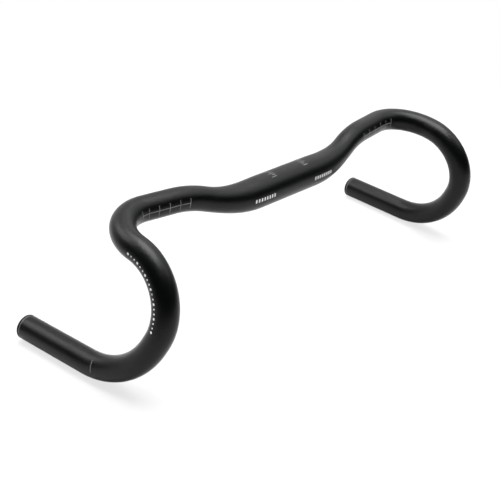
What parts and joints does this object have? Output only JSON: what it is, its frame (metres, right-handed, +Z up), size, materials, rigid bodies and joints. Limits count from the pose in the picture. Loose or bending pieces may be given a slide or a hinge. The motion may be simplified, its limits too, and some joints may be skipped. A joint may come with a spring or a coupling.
{
  "type": "drop handlebar",
  "caption": "One-piece drop handlebar with a raised and swept riser, compact flared hooks, level straight ends, push-in end plugs and printed scales.",
  "frame": {"origin": "middle of the stem clamp zone, on its axis", "axes": "+X along the bar towards the rider's left, +Y towards the rider, -Y the way the hooks reach, +Z up with the straight ends of the drops level"},
  "size_m": [0.526, 0.172, 0.1488],
  "materials": {
    "bar_tube": "bead-blasted and anodised satin black",
    "end_plug": "moulded black plastic, fine matt texture",
    "grey_ink": "pad-printed light grey ink",
    "white_ink": "pad-printed white ink"
  },
  "bodies": {
    "root": {"bar_tube": "bar_tube", "left_end_plug": "end_plug", "right_end_plug": "end_plug", "left_tops_scale": "grey_ink", "right_tops_scale": "grey_ink", "left_stem_marks": "grey_ink", "right_stem_marks": "grey_ink", "left_trim_mark": "grey_ink", "right_trim_mark": "grey_ink", "left_drop_dots": "white_ink", "right_drop_dots": "white_ink", "left_front_badge": "white_ink", "right_front_badge": "white_ink"}
  },
  "joints": []
}
